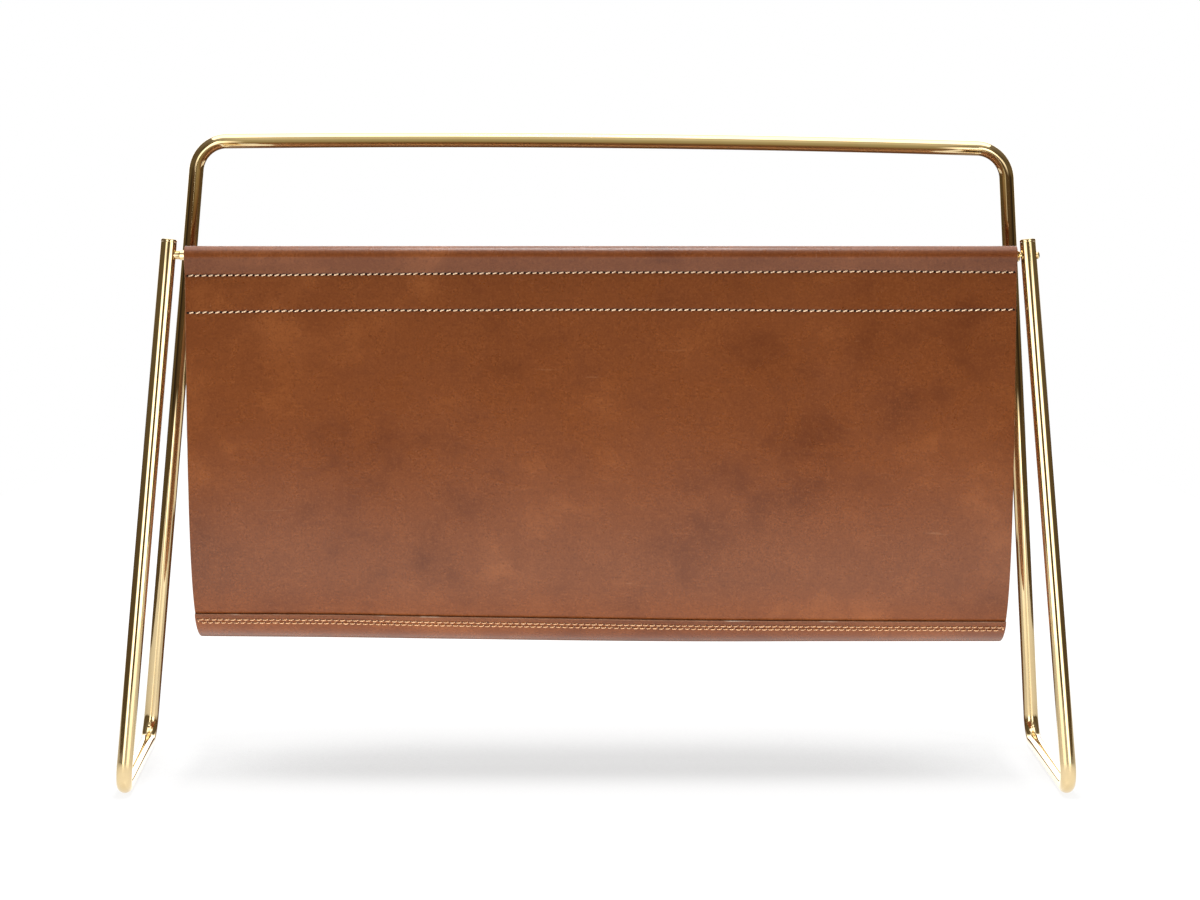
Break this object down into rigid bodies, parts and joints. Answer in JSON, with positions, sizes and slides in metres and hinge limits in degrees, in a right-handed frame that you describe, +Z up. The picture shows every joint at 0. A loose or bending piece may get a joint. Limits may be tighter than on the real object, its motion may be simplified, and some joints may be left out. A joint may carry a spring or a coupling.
{
  "type": "magazine basket",
  "caption": "Free-standing magazine basket: a stitched leather sling hung on rods in a bent brass tube frame whose rear arch is the carrying handle.",
  "frame": {"origin": "on the floor, at the middle of the base's bounding box", "axes": "+X along the basket to the right seen from the front, +Y from the front posts to the rear arch, +Z up"},
  "size_m": [0.6017, 0.1833, 0.4075],
  "materials": {
    "brass": "mirror-polished, clear-lacquered",
    "leather": "smooth oiled vegetable-tanned leather with cloudy shading",
    "thread": "waxed cream thread"
  },
  "bodies": {
    "root": {"frame_tube": "brass", "left_post_plug": "brass", "right_post_plug": "brass", "front_hem_rod": "brass", "front_rod_screw": "brass", "back_hem_rod": "brass", "back_rod_screw": "brass", "front_panel": "leather", "base_panel": "leather", "back_panel": "leather", "front_hem_thread_upper": "thread", "front_hem_thread_lower": "thread", "front_seam_thread": "thread", "back_hem_thread_upper": "thread", "back_hem_thread_lower": "thread", "back_seam_thread": "thread"}
  },
  "joints": []
}
